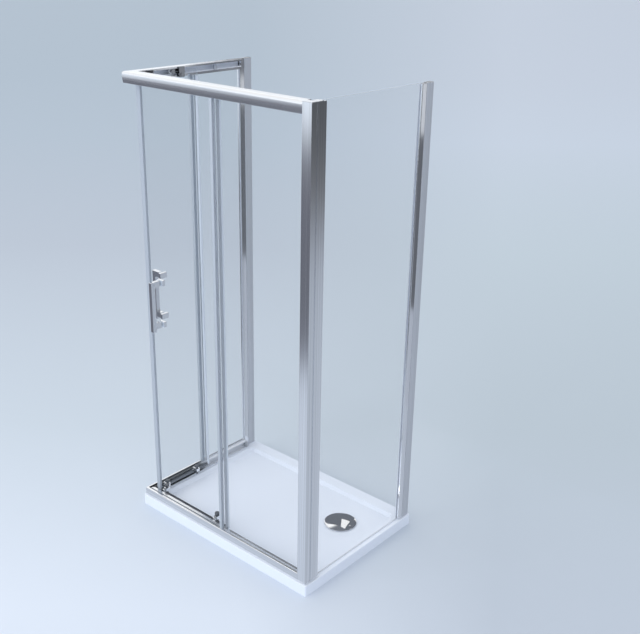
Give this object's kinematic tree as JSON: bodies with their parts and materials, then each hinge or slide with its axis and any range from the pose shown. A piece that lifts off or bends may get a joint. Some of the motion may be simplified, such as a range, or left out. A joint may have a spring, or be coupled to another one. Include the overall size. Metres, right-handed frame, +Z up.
{
  "type": "shower enclosure with sliding doors",
  "caption": "Corner-entry glass shower enclosure on a low white tray, with sliding doors that meet at the corner, square handles and a fixed side panel.",
  "frame": {"origin": "middle of the tray's underside, on the floor", "axes": "+Z up, +Y from the front towards the wall behind, +X along the long side from the corner where the doors meet to the fixed side panel"},
  "size_m": [1, 0.7, 1.95],
  "materials": {
    "tray_white": "white gloss acrylic",
    "bright_aluminium": "bright polished anodised",
    "chrome": "polished chrome plate",
    "clear_glass": "clear toughened",
    "clear_seal": "translucent soft plastic",
    "grey_rubber": "matt",
    "black_rubber": "matt",
    "white_nylon": "smooth",
    "waste_plastic": "moulded"
  },
  "bodies": {
    "enclosure": {"tray": "tray_white", "waste_body": "waste_plastic", "waste_seal": "black_rubber", "waste_nut": "waste_plastic", "corner_post": "bright_aluminium", "side_panel_profile": "bright_aluminium", "right_wall_channel": "bright_aluminium", "right_adjusting_profile": "bright_aluminium", "left_wall_channel": "bright_aluminium", "left_adjusting_profile": "bright_aluminium", "front_header": "bright_aluminium", "left_header": "bright_aluminium", "front_bottom_rail": "bright_aluminium", "left_bottom_rail": "bright_aluminium", "corner_plates": "bright_aluminium", "side_glass": "clear_glass", "header_end_brackets": "bright_aluminium", "rail_end_plugs": "black_rubber", "door_stops": "black_rubber", "top_caps": "bright_aluminium", "glazing_gaskets": "grey_rubber", "front_fixed_glass": "clear_glass", "front_fixed_edge": "bright_aluminium", "left_fixed_glass": "clear_glass", "left_fixed_edge": "bright_aluminium"},
    "waste_cover": {"waste_cover": "chrome"},
    "front_door": {"front_door_glass": "clear_glass", "front_closing_seal": "clear_seal", "front_trailing_seal": "clear_seal", "front_drip_seal": "clear_seal", "front_handle": "chrome", "front_handle_pads": "chrome", "front_handle_washers": "clear_seal", "front_hangers": "chrome", "front_guide_blocks": "chrome"},
    "front_roller_wheel_1": {"front_roller_wheel_1": "white_nylon"},
    "front_roller_wheel_2": {"front_roller_wheel_2": "white_nylon"},
    "front_roller_wheel_3": {"front_roller_wheel_3": "white_nylon"},
    "front_roller_wheel_4": {"front_roller_wheel_4": "white_nylon"},
    "front_button_1": {"front_button_1": "chrome"},
    "front_guide_wheel_1": {"front_guide_wheel_1": "white_nylon"},
    "front_button_2": {"front_button_2": "chrome"},
    "front_guide_wheel_2": {"front_guide_wheel_2": "white_nylon"},
    "left_door": {"left_door_glass": "clear_glass", "left_closing_seal": "clear_seal", "left_trailing_seal": "clear_seal", "left_drip_seal": "clear_seal", "left_handle": "chrome", "left_handle_pads": "chrome", "left_handle_washers": "clear_seal", "left_hangers": "chrome", "left_guide_blocks": "chrome"},
    "left_roller_wheel_1": {"left_roller_wheel_1": "white_nylon"},
    "left_roller_wheel_2": {"left_roller_wheel_2": "white_nylon"},
    "left_roller_wheel_3": {"left_roller_wheel_3": "white_nylon"},
    "left_roller_wheel_4": {"left_roller_wheel_4": "white_nylon"},
    "left_button_1": {"left_button_1": "chrome"},
    "left_guide_wheel_1": {"left_guide_wheel_1": "white_nylon"},
    "left_button_2": {"left_button_2": "chrome"},
    "left_guide_wheel_2": {"left_guide_wheel_2": "white_nylon"}
  },
  "joints": [
    {"name": "waste_cover_lift", "type": "slide", "parent": "enclosure", "child": "waste_cover", "axis": [0, 0, 1], "range_m": [0, 0.04]},
    {"name": "front_door_slide", "type": "slide", "parent": "enclosure", "child": "front_door", "axis": [1, 0, 0], "range_m": [0, 0.3408]},
    {"name": "front_roller_wheel_1_turn", "type": "hinge", "parent": "front_door", "child": "front_roller_wheel_1", "pos_m": [-0.427, -0.3165, 1.9318], "axis": [0, 1, 0], "continuous": true},
    {"name": "front_roller_wheel_2_turn", "type": "hinge", "parent": "front_door", "child": "front_roller_wheel_2", "pos_m": [-0.393, -0.3165, 1.9318], "axis": [0, 1, 0], "continuous": true},
    {"name": "front_roller_wheel_3_turn", "type": "hinge", "parent": "front_door", "child": "front_roller_wheel_3", "pos_m": [-0.113, -0.3165, 1.9318], "axis": [0, 1, 0], "continuous": true},
    {"name": "front_roller_wheel_4_turn", "type": "hinge", "parent": "front_door", "child": "front_roller_wheel_4", "pos_m": [-0.079, -0.3165, 1.9318], "axis": [0, 1, 0], "continuous": true},
    {"name": "front_button_1_press", "type": "slide", "parent": "front_door", "child": "front_button_1", "axis": [0, 0, 1], "range_m": [-0.005, 0], "stiffness_N_per_m": 600, "springref_m": 0.005},
    {"name": "front_guide_wheel_1_turn", "type": "hinge", "parent": "front_button_1", "child": "front_guide_wheel_1", "pos_m": [-0.41, -0.313, 0.0681], "axis": [0, 1, 0], "continuous": true},
    {"name": "front_button_2_press", "type": "slide", "parent": "front_door", "child": "front_button_2", "axis": [0, 0, 1], "range_m": [-0.005, 0], "stiffness_N_per_m": 600, "springref_m": 0.005},
    {"name": "front_guide_wheel_2_turn", "type": "hinge", "parent": "front_button_2", "child": "front_guide_wheel_2", "pos_m": [-0.076, -0.313, 0.0681], "axis": [0, 1, 0], "continuous": true},
    {"name": "left_door_slide", "type": "slide", "parent": "enclosure", "child": "left_door", "axis": [0, 1, 0], "range_m": [0, 0.1868]},
    {"name": "left_roller_wheel_1_turn", "type": "hinge", "parent": "left_door", "child": "left_roller_wheel_1", "pos_m": [-0.4665, -0.277, 1.9318], "axis": [1, 0, 0], "continuous": true},
    {"name": "left_roller_wheel_2_turn", "type": "hinge", "parent": "left_door", "child": "left_roller_wheel_2", "pos_m": [-0.4665, -0.243, 1.9318], "axis": [1, 0, 0], "continuous": true},
    {"name": "left_roller_wheel_3_turn", "type": "hinge", "parent": "left_door", "child": "left_roller_wheel_3", "pos_m": [-0.4665, -0.117, 1.9318], "axis": [1, 0, 0], "continuous": true},
    {"name": "left_roller_wheel_4_turn", "type": "hinge", "parent": "left_door", "child": "left_roller_wheel_4", "pos_m": [-0.4665, -0.083, 1.9318], "axis": [1, 0, 0], "continuous": true},
    {"name": "left_button_1_press", "type": "slide", "parent": "left_door", "child": "left_button_1", "axis": [0, 0, 1], "range_m": [-0.005, 0], "stiffness_N_per_m": 600, "springref_m": 0.005},
    {"name": "left_guide_wheel_1_turn", "type": "hinge", "parent": "left_button_1", "child": "left_guide_wheel_1", "pos_m": [-0.463, -0.26, 0.0681], "axis": [1, 0, 0], "continuous": true},
    {"name": "left_button_2_press", "type": "slide", "parent": "left_door", "child": "left_button_2", "axis": [0, 0, 1], "range_m": [-0.005, 0], "stiffness_N_per_m": 600, "springref_m": 0.005},
    {"name": "left_guide_wheel_2_turn", "type": "hinge", "parent": "left_button_2", "child": "left_guide_wheel_2", "pos_m": [-0.463, -0.08, 0.0681], "axis": [1, 0, 0], "continuous": true}
  ],
  "couplings": [
    {"joint": "front_roller_wheel_1_turn", "follows": "front_door_slide", "rad_per_m": 95.238},
    {"joint": "front_roller_wheel_2_turn", "follows": "front_door_slide", "rad_per_m": 95.238},
    {"joint": "front_roller_wheel_3_turn", "follows": "front_door_slide", "rad_per_m": 95.238},
    {"joint": "front_roller_wheel_4_turn", "follows": "front_door_slide", "rad_per_m": 95.238},
    {"joint": "front_guide_wheel_1_turn", "follows": "front_door_slide", "rad_per_m": -116.28},
    {"joint": "front_guide_wheel_2_turn", "follows": "front_door_slide", "rad_per_m": -116.28},
    {"joint": "left_roller_wheel_1_turn", "follows": "left_door_slide", "rad_per_m": -95.238},
    {"joint": "left_roller_wheel_2_turn", "follows": "left_door_slide", "rad_per_m": -95.238},
    {"joint": "left_roller_wheel_3_turn", "follows": "left_door_slide", "rad_per_m": -95.238},
    {"joint": "left_roller_wheel_4_turn", "follows": "left_door_slide", "rad_per_m": -95.238},
    {"joint": "left_guide_wheel_1_turn", "follows": "left_door_slide", "rad_per_m": 116.28},
    {"joint": "left_guide_wheel_2_turn", "follows": "left_door_slide", "rad_per_m": 116.28}
  ]
}
